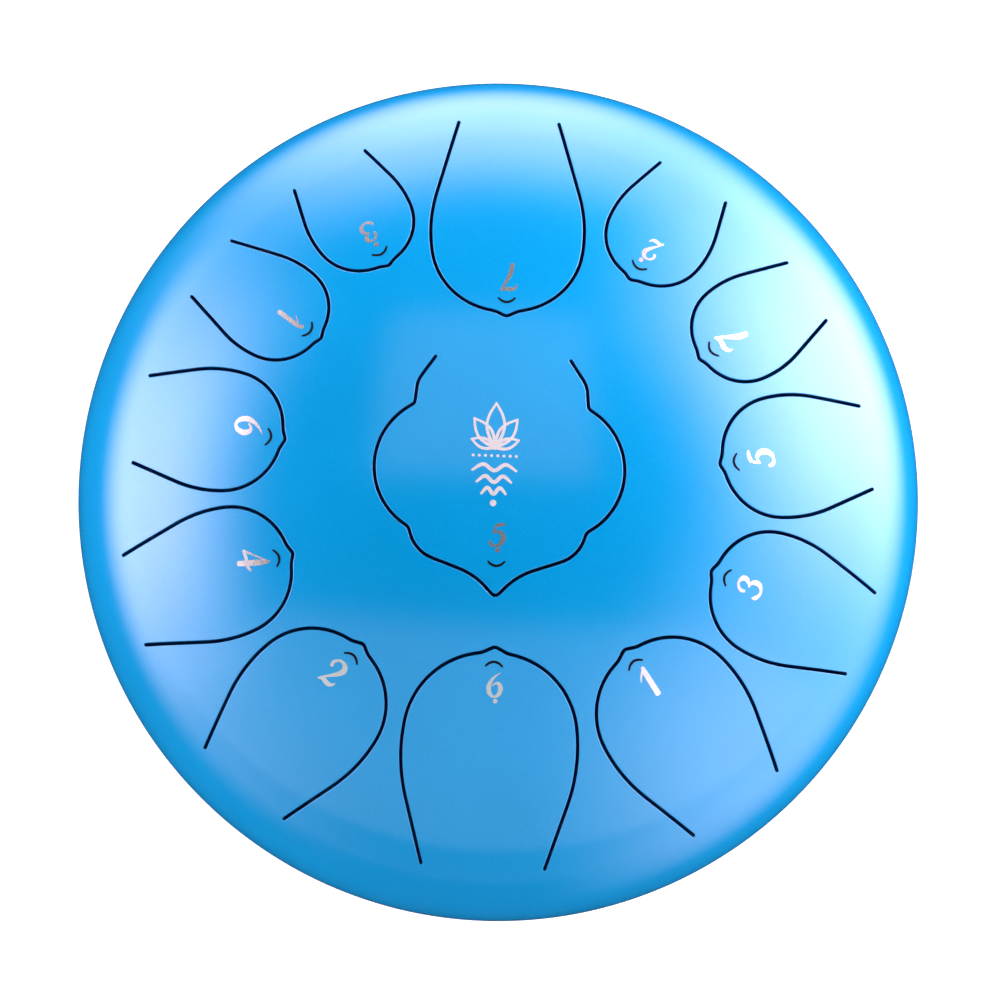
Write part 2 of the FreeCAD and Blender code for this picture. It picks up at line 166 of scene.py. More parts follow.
# Marks on the tongues: silver foil numerals, octave dots and a small black arc, in millimetres.
# A numeral is drawn upright on a 10 mm line height, as pen strokes of (across, up, pen width).
FOIL_HEIGHT = 0.05
FOIL_SINK = 0.02
CRESCENT_HALF_WIDTH = 2.9
CRESCENT_RISE = 1.5
CRESCENT_WIDTH = 0.82
CRESCENT_SHARES = ((-1, 1, 0.8), (-0.55, 0.3, 1), (0, 0, 1.05), (0.55, 0.3, 1), (1, 1, 0.8))
DOT_RADIUS = 0.8
PEN_SHARE = 0.88
THINNEST_STROKE = 0.2
STROKE_END_ROUNDING = 0.6
NUMERALS = {
    "1": (
        ((-2.0, 6.5, 0.3), (-0.8, 8.0, 0.7), (1.3, 9.9, 1.0)),
        ((1.3, 10.1, 1.4), (1.0, 8.0, 2.0), (0.7, 4.0, 2.1), (0.4, 0.0, 2.2)),
    ),
    "2": (
        ((-3.3, 6.4, 1.5), (-3.6, 7.6, 1.3), (-2.8, 9.0, 1.0), (-1.2, 9.6, 1.2), (0.4, 8.9, 1.9),
         (1.0, 7.4, 2.2), (0.1, 5.5, 1.7), (-1.8, 3.2, 1.0), (-3.8, 0.9, 0.6)),
        ((-4.1, 0.3, 0.6), (-2.7, 1.2, 1.5), (-0.6, 0.9, 1.8), (0.8, 1.4, 1.2), (1.6, 2.6, 0.4)),
    ),
    "3": (
        ((-2.3, 6.1, 1.2), (-2.4, 7.4, 1.4), (-1.4, 8.7, 1.1), (0.3, 9.1, 1.1), (1.9, 8.1, 2.1),
         (1.9, 6.6, 2.0), (0.3, 5.2, 0.8)),
        ((-0.4, 5.1, 0.6), (1.0, 4.8, 1.2), (2.0, 3.4, 2.1), (1.7, 1.6, 2.0), (0.1, 0.5, 1.1),
         (-1.7, 0.5, 1.2), (-3.2, 1.6, 1.7), (-3.6, 2.6, 0.8)),
    ),
    "4": (
        ((0.5, 10.2, 0.8), (0.0, 7.5, 2.1), (-0.9, 3.0, 2.2), (-1.6, 0.0, 1.9)),
        ((0.5, 10.0, 0.7), (-2.4, 6.4, 0.6), (-5.0, 3.0, 0.9)),
        ((-5.3, 2.8, 1.2), (-2.6, 2.9, 1.2), (0.2, 2.8, 1.2), (1.8, 3.5, 0.7)),
    ),
    "5": (
        ((-0.5, 8.6, 1.4), (1.3, 9.1, 1.6), (3.3, 9.2, 0.9)),
        ((-0.2, 9.1, 0.9), (-0.8, 7.5, 1.0), (-1.3, 5.5, 0.9)),
        ((-1.4, 5.6, 0.6), (0.5, 6.3, 1.2), (2.2, 5.2, 2.1), (2.5, 3.0, 2.3), (1.3, 1.0, 1.6),
         (-0.6, 0.4, 1.0), (-2.2, 1.0, 1.6), (-2.7, 2.2, 1.3)),
    ),
    "6": (
        ((1.9, 10.1, 0.3), (0.3, 9.0, 0.8), (-1.4, 7.1, 1.4), (-2.5, 4.4, 2.1), (-2.0, 1.8, 1.9),
         (-0.3, 0.5, 1.1), (1.5, 1.4, 1.7), (2.3, 3.7, 2.2), (1.6, 5.6, 1.8), (0.3, 5.9, 1.0),
         (-1.0, 4.9, 0.5)),
    ),
    "7": (
        ((-3.5, 7.1, 0.4), (-2.9, 8.6, 1.3), (-1.2, 9.2, 1.9), (1.0, 8.9, 1.6), (3.0, 9.9, 0.6)),
        ((3.0, 9.8, 0.6), (1.8, 7.6, 1.1), (0.2, 4.8, 1.7), (-1.0, 2.3, 2.2), (-1.5, 0.0, 2.0)),
    ),
}

# Where the marks sit on each tongue, in millimetres from its tip: distance to the top of the
# numeral, its height, its shift across, the distance to the arc, and the dot's middle (across and
# along). A negative distance marks the low 5, the only numeral with its foot towards the tip.
MARKS = {
    "low_5": (-24.9, 8.4, -0.1, 10.1, (0.3, 15.5)),
    "low_6": (8.9, 8.5, 0.7, 5.2, (1.1, 18.4)),
    "low_7": (9.1, 8.4, -0.4, 5.2, (-1.8, 18.5)),
    "1": (8.9, 10.2, 0.0, 5.2, None),
    "2": (9.0, 10.2, 0.0, 5.2, None),
    "3": (9.7, 9.6, 0.0, 5.2, None),
    "4": (8.9, 10.4, 0.0, 5.1, None),
    "5": (10.0, 9.8, 0.0, 5.2, None),
    "6": (8.6, 10.1, -2.6, 5.2, None),
    "7": (9.2, 10.3, 0.0, 5.2, None),
    "high_1": (9.3, 8.7, -0.2, 4.7, (0.3, 8.3)),
    "high_2": (9.6, 8.4, 0.2, 5.2, (0.5, 8.5)),
    "high_3": (10.3, 7.9, 0.0, 5.1, (-0.2, 9.1)),
}

# Ornament on the centre tongue, in millimetres from its tip: a blossom, a row of beads, waves and a dot.
ORNAMENT_SHIFT = -1.8
BLOSSOM_FOOT = 50.5
BLOSSOM_PETALS = ((-72, 8.4), (-37, 12.2), (0, 15.2), (37, 12.2), (72, 8.4))
BLOSSOM_BULGE = 0.2
BLOSSOM_PEN = 1.15
BLOSSOM_TAPER = 0.35
BLOSSOM_TIP_DOT = 0.45
BLOSSOM_BASE_DOT = 1.0
BEAD_ROW = 47.6
BEAD_COUNT = 8
BEAD_PITCH = 2.1
BEAD_RADIUS = 0.5
WAVE_ROW = 43.6
WAVE_PITCH = 4.0
WAVE_HALF_WIDTHS = (7.6, 6.0, 4.2)
WAVE_RISE = 1.0
WAVE_FALL = 1.1
WAVE_PENS = (0.8, 1.3)
LAST_DOT_ROW = 31.4
LAST_DOT_RADIUS = 1.1

KNUCKLE_CENTRE = DRUM_RADIUS - KNUCKLE_RADIUS
TANGENT_ANGLE = math.asin(KNUCKLE_CENTRE / (CROWN_RADIUS - KNUCKLE_RADIUS))
CROWN_CENTRE = STRAIGHT_FLANGE - (CROWN_RADIUS - KNUCKLE_RADIUS) * math.cos(TANGENT_ANGLE)
WELD_LOW, WELD_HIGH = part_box("girth_weld")
GIRTH = (WELD_LOW.z + WELD_HIGH.z) / 2
UPPER_HEAD = Matrix.Translation((0, 0, GIRTH))
LOWER_HEAD = UPPER_HEAD @ Matrix.Diagonal((1, 1, -1, 1))


# ---- shape of a head ----

def skin_height(plan, depth):
    """Heights above the girth of the skin `depth` under the outside, at plan points."""
    distance = np.hypot(plan[:, 0], plan[:, 1])
    crown = CROWN_CENTRE + np.sqrt(np.maximum((CROWN_RADIUS - depth) ** 2 - distance ** 2, 0))
    across = distance - KNUCKLE_CENTRE
    knuckle = STRAIGHT_FLANGE + np.sqrt(np.maximum((KNUCKLE_RADIUS - depth) ** 2 - across ** 2, 0))
    on_crown = distance <= (CROWN_RADIUS - depth) * math.sin(TANGENT_ANGLE)
    return np.where(on_crown, crown, knuckle)


def skin_normal(plan, depth):
    """Outward unit normals of that skin."""
    distance = np.maximum(np.hypot(plan[:, 0], plan[:, 1]), 1e-9)
    on_crown = distance <= (CROWN_RADIUS - depth) * math.sin(TANGENT_ANGLE)
    crown_lean = distance / (CROWN_RADIUS - depth)
    knuckle_lean = (distance - KNUCKLE_CENTRE) / (KNUCKLE_RADIUS - depth)
    lean = np.clip(np.where(on_crown, crown_lean, knuckle_lean), 0, 1)
    outwards = plan / distance[:, None]
    return np.column_stack([outwards * lean[:, None], np.sqrt(1 - lean ** 2)])


def on_skin(plan, depth, below=0.0):
    """Points on the skin, or a little below it, above the plan points."""
    return np.column_stack([plan, skin_height(plan, depth) - below])


# ---- mesh writer ----

def new_object(name, data):
    made = bpy.data.objects.new(name, data)
    bpy.context.scene.collection.objects.link(made)
    return made


class Builder:
    """Collects points, faces and face-corner normals, and turns them into one smooth-shaded mesh."""

    def __init__(self):
        self.points = []
        self.count = 0
        self.faces = []
        self.normals = []

    def add(self, points):
        points = np.asarray(points, float).reshape(-1, 3)
        self.points.append(points)
        self.count += len(points)
        return np.arange(self.count - len(points), self.count)

    def add_faces(self, corners, normals):
        """corners is n by k point numbers, normals n by k by 3. Faces are turned to agree with them."""
        self.faces.append(np.asarray(corners))
        self.normals.append(np.asarray(normals, float))

    def strip(self, first, second, first_normals, second_normals, closed=False):
        """Quads between two rows of points that run side by side."""
        here = np.arange(len(first) if closed else len(first) - 1)
        after = (here + 1) % len(first)
        corners = np.column_stack([first[here], first[after], second[after], second[here]])
        sides = (first_normals[here], first_normals[after], second_normals[after], second_normals[here])
        self.add_faces(corners, np.stack(sides, axis=1))

    def build(self, name, material, place):
        turn = np.array(place.to_3x3())
        points = np.concatenate(self.points) @ turn.T + np.array(place.translation)
        faces = []
        normals = []
        for corners, corner_normals in zip(self.faces, self.normals):
            corner_normals = corner_normals @ turn.T
            a, b, c = (points[corners[:, i]] for i in range(3))
            facing = np.cross(b - a, c - a)
            if corners.shape[1] == 4:
                facing = facing + np.cross(c - a, points[corners[:, 3]] - a)
            wrong = (facing * corner_normals.mean(axis=1)).sum(axis=1) < 0
            corners = corners.copy()
            corners[wrong] = corners[wrong][:, ::-1]
            corner_normals[wrong] = corner_normals[wrong][:, ::-1]
            faces.extend(corners.tolist())
            normals.append(corner_normals.reshape(-1, 3))
        mesh = bpy.data.meshes.new(name)
        mesh.from_pydata(points.tolist(), [], faces)
        mesh.polygons.foreach_set("use_smooth", [True] * len(mesh.polygons))
        mesh.materials.append(material)
        mesh.normals_split_custom_set(np.concatenate(normals).tolist())
        mesh.update()
        return new_object(name, mesh)


# ---- plan geometry ----

def unit(vectors):
    """A vector, or each of a column of vectors, brought to length 1."""
    return vectors / np.linalg.norm(vectors, axis=-1, keepdims=True)


def arc_over(half_chord, rise):
    """Radius and half angle of the arc that stands over a chord."""
    radius = (half_chord ** 2 + rise ** 2) / (2 * rise)
    return radius, math.asin(half_chord / radius)


def circle(radius, count, centre=(0, 0), shift=0):
    """Evenly spaced points of a circle, the first one `shift` steps round from +X."""
    angles = (np.arange(count) + shift) * 2 * math.pi / count
    return np.asarray(centre) + radius * np.column_stack([np.cos(angles), np.sin(angles)])


class Outline:
    """Half an outline in millimetres, drawn from the tip: x runs across the tongue and y along it."""

    def __init__(self):
        self.points = [np.zeros(2)]

    def line_to(self, target):
        start = self.points[-1]
        target = np.asarray(target, float)
        steps = max(1, round(np.linalg.norm(target - start) * MM / OUTLINE_STEP))
        for share in np.linspace(0, 1, steps + 1)[1:]:
            self.points.append(start + (target - start) * share)

    def line(self, length, angle):
        angle = math.radians(angle)
        self.line_to(self.points[-1] + length * np.array([math.cos(angle), math.sin(angle)]))

    def arc(self, radius, start, end):
        """Arc whose direction turns from start to end, in degrees."""
        side = 1 if end > start else -1
        centre = self.points[-1] + self.normal(start) * radius * side
        steps = max(2, round(radius * abs(math.radians(end - start)) * MM / OUTLINE_STEP))
        for angle in np.linspace(start, end, steps + 1)[1:]:
            self.points.append(centre - self.normal(angle) * radius * side)

    @staticmethod
    def normal(angle):
        angle = math.radians(angle)
        return np.array([-math.sin(angle), math.cos(angle)])

    def both_sides(self):
        """The whole slot line, from one end round the tip to the other, in metres."""
        half = np.array(self.points)
        mirrored = half[:0:-1] * [-1, 1]
        return np.concatenate([mirrored, half]) * MM


def ring_tongue_outline(length, half_width, root_width):
    outline = Outline()
    outline.line(NIB_HALF_WIDTH * half_width / math.cos(math.radians(NIB_ANGLE)), NIB_ANGLE)
    outline.arc(SHOULDER_RADIUS * half_width, SHOULDER_START, FLANK_START)
    radius = FLANK_RADIUS * half_width
    slot_end = np.array([root_width / 2, length])
    to_end = slot_end - (outline.points[-1] + outline.normal(FLANK_START) * radius)
    straight = math.sqrt(to_end @ to_end - radius ** 2)
    flank_end = math.degrees(math.atan2(to_end[1], to_end[0]) - math.atan2(straight, radius)) + 90
    outline.arc(radius, FLANK_START, flank_end)
    outline.line_to(slot_end)
    return outline.both_sides()


def centre_tongue_outline():
    outline = Outline()
    outline.arc(OGEE_TIP_RADIUS, 0, OGEE_POINT_ANGLE)
    outline.line(OGEE_POINT_LENGTH, OGEE_POINT_ANGLE)
    outline.arc(OGEE_HOLLOW_RADIUS, OGEE_POINT_ANGLE, OGEE_SHALLOW_ANGLE)
    outline.line(OGEE_SHALLOW_LENGTH, OGEE_SHALLOW_ANGLE)
    outline.arc(OGEE_CORNER_RADIUS, OGEE_SHALLOW_ANGLE, OGEE_STEEP_ANGLE)
    outline.line_to(LOBE_LOWER_CORNER)
    low, high = (
        math.degrees(math.atan2(corner[1] - LOBE_CENTRE[1], corner[0] - LOBE_CENTRE[0]))
        for corner in (LOBE_LOWER_CORNER, LOBE_UPPER_CORNER)
    )
    outline.arc(math.dist(LOBE_LOWER_CORNER, LOBE_CENTRE), low + 90, high + 90)
    outline.line_to(NECK_BEND)
    outline.arc(NECK_RADIUS, 90, NECK_ANGLE)
    outline.line_to((CENTRE_ROOT_WIDTH / 2, CENTRE_LENGTH))
    return outline.both_sides()


def evenly(line, step, closed=False):
    """A line's points again, evenly spaced."""
    if closed:
        line = np.concatenate([line, line[:1]])
    gaps = np.linalg.norm(np.diff(line, axis=0), axis=1)
    along = np.concatenate([[0], np.cumsum(gaps)])
    count = max(2, round(along[-1] / step))
    at = np.linspace(0, along[-1], count + 1)
    even = np.column_stack([np.interp(at, along, line[:, axis]) for axis in range(2)])
    return even[:-1] if closed else even


def softened(line, closed=False):
    """The line with its corners rounded as a cutting beam rounds them, its ends kept."""
    line = evenly(line, OUTLINE_STEP, closed)
    reach = SOFTENING_REACH
    offsets = np.arange(-reach, reach + 1)
    weights = np.exp(-0.5 * (offsets * OUTLINE_STEP / OUTLINE_SOFTENING) ** 2)
    weights /= weights.sum()
    if closed:
        padded = np.concatenate([line[-reach:], line, line[:reach]])
    else:
        before = 2 * line[0] - line[reach:0:-1]
        beyond = 2 * line[-1] - line[-2:-reach - 2:-1]
        padded = np.concatenate([before, line, beyond])
    return np.column_stack([np.convolve(padded[:, axis], weights, "valid") for axis in range(2)])


def line_normals(line, closed=False):
    """Unit normals to the left of a line."""
    if closed:
        along = np.roll(line, -1, axis=0) - np.roll(line, 1, axis=0)
    else:
        along = np.gradient(line, axis=0)
    return unit(np.column_stack([-along[:, 1], along[:, 0]]))


def thinned(line, normals):
    """Indices of the points that the line's turns and lengths need."""
    kept = [0]
    for index in range(1, len(line) - 1):
        far = np.linalg.norm(line[index] - line[kept[-1]]) >= OUTLINE_SPACING
        turn = math.acos(min(1.0, float(normals[index] @ normals[kept[-1]])))
        if far or turn >= OUTLINE_TURN:
            kept.append(index)
    return kept + [len(line) - 1]


class Cut:
    """One loop of a sheet's edge: free points with walls beside a void, and an optional root run.

    wall holds the plan points of the wall and void the directions from the metal into the void.
    root holds the plan points that close the loop where the sheet runs on."""

    def __init__(self, wall, void, edge):
        self.wall = wall
        self.void = void
        self.edge = edge
        self.root = None

    def surface(self):
        return self.wall - self.void * self.edge

    def polygon(self):
        return self.surface() if self.root is None else np.concatenate([self.surface(), self.root])


def inside(points, polygon):
    """Which points lie inside a polygon."""
    result = np.zeros(len(points), bool)
    low, high = polygon.min(axis=0), polygon.max(axis=0)
    near = np.nonzero(((points >= low) & (points <= high)).all(axis=1))[0]
    x, y = points[near, 0], points[near, 1]
    odd = np.zeros(len(near), bool)
    for start, end in zip(polygon, np.roll(polygon, -1, axis=0)):
        if start[1] == end[1]:
            continue
        crosses = (start[1] > y) != (end[1] > y)
        odd ^= crosses & (x < (end[0] - start[0]) * (y - start[1]) / (end[1] - start[1]) + start[0])
    result[near] = odd
    return result


def ring_points(radius):
    """Plan points on rings about the axis, closer together on the knuckle."""
    points = [np.zeros((1, 2))]
    distance = CROWN_SPACING
    shift = 0.0
    while distance < radius - KNUCKLE_SPACING / 2:
        spacing = CROWN_SPACING if distance < KNUCKLE_BAND else KNUCKLE_SPACING
        count = round(2 * math.pi * distance / spacing)
        points.append(circle(distance, count, shift=shift))
        shift = 0.5 - shift
        distance += spacing * RING_PITCH
    return np.concatenate(points)


def clear_of(points, edges, distance):
    """The points that keep a distance from the edge points."""
    tree = KDTree(len(edges))
    for index, point in enumerate(edges):
        tree.insert((point[0], point[1], 0), index)
    tree.balance()
    return np.array([p for p in points if tree.find((p[0], p[1], 0))[2] > distance]).reshape(-1, 2)


def plan_regions(plan, loops):
    """Triangulates plan points and finds the regions that the loops (lists of point numbers) enclose.

    Returns all points, their numbers in plan (-1 for a crossing), and a list of the triangles of
    each region with a point well inside it."""
    edges = []
    for loop in loops:
        edges.extend(zip(loop.tolist(), np.roll(loop, -1).tolist()))
    vertices, lines, faces, origins, line_origins, _faces = delaunay_2d_cdt(
        [Vector(point) for point in plan], edges, [], 0, 1e-9
    )
    fences = {tuple(sorted(line)) for line, origin in zip(lines, line_origins) if origin}
    points = np.array(vertices)
    corners = np.array([list(face) for face in faces])
    parents = list(range(len(corners)))

    def region(number):
        while parents[number] != number:
            parents[number] = parents[parents[number]]
            number = parents[number]
        return number

    waiting = {}
    for number, face in enumerate(corners.tolist()):
        for line in zip(face, face[1:] + face[:1]):
            line = tuple(sorted(line))
            if line in fences:
                continue
            if line in waiting:
                parents[region(number)] = region(waiting.pop(line))
            else:
                waiting[line] = number
    outside = {region(number) for number in waiting.values()}
    labels = np.array([region(number) for number in range(len(corners))])
    a, b, c = (points[corners[:, i]] for i in range(3))
    areas = np.abs((b - a)[:, 0] * (c - a)[:, 1] - (b - a)[:, 1] * (c - a)[:, 0])
    regions = []
    for label in np.unique(labels):
        if label not in outside:
            members = np.nonzero(labels == label)[0]
            largest = members[areas[members].argmax()]
            regions.append((corners[members], points[corners[largest]].mean(axis=0)))
    numbers = np.array([origin[0] if origin else -1 for origin in origins])
    return points, numbers, regions


def in_any(point, polygons):
    """Whether a point lies in one of the polygons."""
    return any(inside(point[None], polygon)[0] for polygon in polygons)


def triangles(plan, loops, outer, holes):
    """Triangles over plan points that respect the loops, inside the outer one and outside the holes."""
    _points, numbers, regions = plan_regions(plan, loops)
    if (numbers < 0).any():
        raise RuntimeError("an outline crosses itself")
    kept = [corners for corners, at in regions if in_any(at, [outer]) and not in_any(at, holes)]
    return numbers[np.concatenate(kept)]


def sheet_points(outer, holes, radius, clearance):
    """Plan points of a sheet, out to a radius about the axis and clear of the sheet's edges."""
    points = ring_points(radius)
    points = points[inside(points, outer)]
    for hole in holes:
        points = points[~inside(points, hole)]
    return clear_of(points, np.concatenate([*holes, outer]), clearance)


def add_sheet(builder, cuts, radius, clearance, boundary=None):
    """Adds both skins and the free edges of a piece of sheet.

    boundary is a circle where the sheet runs on, and then the cuts are holes; without one, the only
    cut is the outline. Returns the point numbers of the boundary on the outer and the inner skin."""
    holes = [cut.polygon() for cut in cuts]
    outer = holes.pop() if boundary is None else boundary
    field = sheet_points(outer, holes, radius, clearance)
    rows = []
    for cut in cuts:
        surface = cut.surface()
        void = np.column_stack([cut.void, np.zeros(len(cut.void))])
        middle = cut.wall - cut.void * (cut.edge * ROUND_MIDDLE)
        closed = cut.root is None
        outer_normals = skin_normal(surface, 0)
        middle_normals = unit(skin_normal(middle, 0) + void)
        top = builder.add(on_skin(surface, 0))
        bend = builder.add(on_skin(middle, 0, cut.edge * ROUND_MIDDLE))
        brink = builder.add(on_skin(cut.wall, 0, cut.edge))
        foot = builder.add(on_skin(cut.wall, WALL))
        builder.strip(top, bend, outer_normals, middle_normals, closed)
        builder.strip(bend, brink, middle_normals, void, closed)
        builder.strip(brink, foot, void, void, closed)
        if closed:
            rows.append((top, foot, surface, cut.wall))
            continue
        root_top = builder.add(on_skin(cut.root, 0))
        root_foot = builder.add(on_skin(cut.root, WALL))
        across = surface[-1] - surface[0]
        facing = unit(np.array([-across[1], across[0], 0]))
        middle = surface.mean(axis=0)
        leads_out = facing[:2] @ (cut.root.mean(axis=0) - middle) > 0
        void_is_out = ((surface - middle) * cut.void).sum() > 0
        facing *= 1 if leads_out == void_is_out else -1
        for end, root_end in ((-1, 0), (0, -1)):
            fan = [top[end], bend[end], brink[end], foot[end], root_foot[root_end], root_top[root_end]]
            quads = [[fan[0], fan[1], fan[4], fan[5]], [fan[1], fan[2], fan[3], fan[4]]]
            builder.add_faces(quads, np.tile(facing, (2, 4, 1)))
        facings = np.tile(facing, (len(cut.root), 1))
        builder.strip(root_top, root_foot, facings, facings)
        pairs = ((top, root_top), (foot, root_foot), (surface, cut.root), (cut.wall, cut.root))
        rows.append([np.concatenate(pair) for pair in pairs])
    rims = []
    for skin, depth in ((0, 0.0), (1, WALL)):
        numbers = [row[skin] for row in rows]
        plans = [row[2 + skin] for row in rows]
        if boundary is not None:
            numbers.append(builder.add(on_skin(boundary, depth)))
            plans.append(boundary)
        rims.append(numbers[-1])
        numbers.append(builder.add(on_skin(field, depth)))
        plans.append(field)
        starts = np.cumsum([0] + [len(group) for group in numbers])
        loops = [np.arange(starts[i], starts[i + 1]) for i in range(len(numbers) - 1)]
        plan = np.concatenate(plans)
        corners = triangles(plan, loops, outer, holes)
        normals = skin_normal(plan, depth) * (-1 if skin else 1)
        builder.add_faces(np.concatenate(numbers)[corners], normals[corners])
    return rims


def lathe(builder, runs, first, last):
    """Rings about Z through runs of (radius, height, radial normal, height normal).

    A sharp edge parts two runs that share a point. first and last are rings that exist already."""
    directions = circle(1, AROUND)

    def normals_of(entry):
        return np.column_stack([directions * entry[2], np.full(AROUND, entry[3])])

    ring = first
    for run in runs:
        for before, entry in zip(run, run[1:]):
            if run is runs[-1] and entry is run[-1]:
                following = last
            else:
                points = np.column_stack([directions * entry[0], np.full(AROUND, entry[1])])
                following = builder.add(points)
            builder.strip(ring, following, normals_of(before), normals_of(entry), closed=True)
            ring = following


def arc_run(centre, radius, start, end, steps, side=1):
    """Run along an arc in the section, angles in radians from the axis, side -1 facing its centre."""
    ways = [(math.sin(angle), math.cos(angle)) for angle in np.linspace(start, end, steps + 1)]
    return [(centre[0] + radius * x, centre[1] + radius * z, side * x, side * z) for x, z in ways]


def straight_runs(corners):
    """Straight runs from corner to corner, with the outside to the left of their direction."""
    runs = []
    for start, end in zip(corners, corners[1:]):
        along = unit(np.subtract(end, start))
        runs.append([(*corner, -along[1], along[0]) for corner in (start, end)])
    return runs


def add_rim(builder, rims, rim_start):
    """The knuckle, flange and weld bevel beyond the part of a head that is meshed in plan."""
    centre = (KNUCKLE_CENTRE, STRAIGHT_FLANGE)
    tangent = CROWN_RADIUS * math.sin(TANGENT_ANGLE)
    outer_runs = []
    inner_runs = []
    if rim_start < tangent:
        crown = (0, CROWN_CENTRE)
        start = math.asin(rim_start / CROWN_RADIUS)
        outer_runs.append(arc_run(crown, CROWN_RADIUS, start, TANGENT_ANGLE, CROWN_RIM_STEPS))
        start = math.asin(rim_start / (CROWN_RADIUS - WALL))
        radius = CROWN_RADIUS - WALL
        inner_runs.append(arc_run(crown, radius, TANGENT_ANGLE, start, CROWN_RIM_STEPS, -1))
        outer_start = inner_start = TANGENT_ANGLE
    else:
        outer_start = math.asin((rim_start - KNUCKLE_CENTRE) / KNUCKLE_RADIUS)
        inner_start = math.asin((rim_start - KNUCKLE_CENTRE) / (KNUCKLE_RADIUS - WALL))
    steps = KNUCKLE_LEAST_STEPS + round((RIGHT_ANGLE - outer_start) / KNUCKLE_STEP)
    outer_runs.append(arc_run(centre, KNUCKLE_RADIUS, outer_start, RIGHT_ANGLE, steps))
    inner_runs.insert(0, arc_run(centre, KNUCKLE_RADIUS - WALL, RIGHT_ANGLE, inner_start, steps, -1))
    flange = straight_runs([
        (DRUM_RADIUS, STRAIGHT_FLANGE), (DRUM_RADIUS, WELD_FACE_WIDTH / 2),
        (INNER_RADIUS, WELD_ROOT_GAP / 2), (INNER_RADIUS, STRAIGHT_FLANGE),
    ])
    lathe(builder, outer_runs + flange + inner_runs, *rims)


# ---- materials ----

def set_inputs(node, **values):
    """Sets a node's sockets by their names, with _ for a space."""
    for socket, value in values.items():
        node.inputs[socket.replace("_", " ")].default_value = value


class Shader:
    """A Principled material with short calls for the nodes it needs."""

    def __init__(self, name, **sockets):
        self.material = bpy.data.materials.new(name)
        self.material.use_nodes = True
        self.tree = self.material.node_tree
        self.surface = self.tree.nodes["Principled BSDF"]
        set_inputs(self.surface, **sockets)
        self.place = self.add("ShaderNodeTexCoord").outputs["Object"]

    def add(self, kind, **settings):
        node = self.tree.nodes.new(kind)
        for key, value in settings.items():
            setattr(node, key, value)
        return node

    def link(self, output, target):
        self.tree.links.new(output, target)

    def noise(self, scale, detail=2.0, roughness=0.5):
        node = self.add("ShaderNodeTexNoise")
        set_inputs(node, Scale=scale, Detail=detail, Roughness=roughness)
        self.link(self.place, node.inputs["Vector"])
        return node.outputs["Fac"]

    def ramp(self, factor, stops):
        node = self.add("ShaderNodeValToRGB")
        elements = node.color_ramp.elements
        while len(elements) < len(stops):
            elements.new(0.5)
        for element, (position, colour) in zip(elements, stops):
            element.position = position
            element.color = (*colour, 1)
        self.link(factor, node.inputs["Fac"])
        return node.outputs["Color"]

    def to_range(self, factor, low, high, from_low=0.0, from_high=1.0):
        node = self.add("ShaderNodeMapRange")
        set_inputs(node, From_Min=from_low, From_Max=from_high, To_Min=low, To_Max=high)
        self.link(factor, node.inputs["Value"])
        return node.outputs["Result"]

    def tint(self, factor, base, colour):
        """The base colour, turned towards another colour by a factor."""
        node = self.add("ShaderNodeMix", data_type="RGBA")
        first, second = (socket for socket in node.inputs if socket.type == "RGBA")
        self.link(factor, node.inputs["Factor"])
        self.link(base, first)
        second.default_value = (*colour, 1)
        return next(socket for socket in node.outputs if socket.type == "RGBA")

    def bump(self, height, strength, distance, before=None):
        node = self.add("ShaderNodeBump")
        set_inputs(node, Strength=strength, Distance=distance)
        self.link(height, node.inputs["Height"])
        if before is not None:
            self.link(before, node.inputs["Normal"])
        return node.outputs["Normal"]

    def set(self, socket, output):
        self.link(output, self.surface.inputs[socket])


def azure_paint():
    """Metallic azure lacquer: a fine pearl grain in the colour, an even sprayed skin, clear coat."""
    paint = Shader(
        "azure_paint", Metallic=0.2, Specular_IOR_Level=0.0,
        Coat_Weight=1.0, Coat_Roughness=0.14, Coat_IOR=1.75,
    )
    clouds = paint.noise(28, 3)
    base = paint.ramp(clouds, [(0.3, (0.0, 0.335, 0.74)), (0.7, (0.0, 0.355, 0.78))])
    grain = paint.noise(2400, 1)
    base = paint.tint(paint.to_range(grain, 0, 0.30, 0.52, 0.75), base, (0.03, 0.44, 0.87))
    base = paint.tint(paint.to_range(grain, 0.28, 0, 0.25, 0.45), base, (0.0, 0.29, 0.66))
    paint.set("Base Color", base)
    paint.set("Roughness", paint.to_range(paint.noise(900, 2), 0.40, 0.52, 0.3, 0.7))
    peel = paint.bump(paint.noise(420, 1), 0.08, 0.0002)
    paint.set("Normal", paint.bump(grain, 0.12, 0.00005, peel))
    paint.set("Coat Normal", paint.bump(paint.noise(2600, 1), 0.25, 0.00006))
    return paint.material


def plain(name, colour, roughness, metallic=0.0, scale=600.0, spread=0.15, gloss=0.5):
    """A simple surface with a slight mottle in its colour and gloss."""
    shader = Shader(name, Metallic=metallic, Specular_IOR_Level=gloss)
    mottle = shader.noise(scale, 3)
    dark = tuple(channel * (1 - spread) for channel in colour)
    light = tuple(min(1.0, channel * (1 + spread)) for channel in colour)
    shader.set("Base Color", shader.ramp(mottle, [(0.3, dark), (0.7, light)]))
    shader.set("Roughness", shader.to_range(mottle, roughness * 0.85, roughness * 1.15, 0.3, 0.7))
    shader.set("Normal", shader.bump(mottle, 0.1, 0.00005))
    return shader.material


# ---- the drum ----

PAINT = azure_paint()


def tongue_places():
    """Tip, direction from tip to root and length of every tongue, from the frame's joints."""
    places = {}
    for joint in frame["joints"]:
        name = joint["name"].replace("flex_", "")
        root = np.array(joint["pos_m"][:2])
        direction = np.array([-joint["axis"][1], joint["axis"][0]])
        length = (CENTRE_LENGTH if name == "low_5" else RING_TONGUES[name][0]) * MM
        places[name] = (root - direction * length, direction, length)
    return places


PLACES = tongue_places()


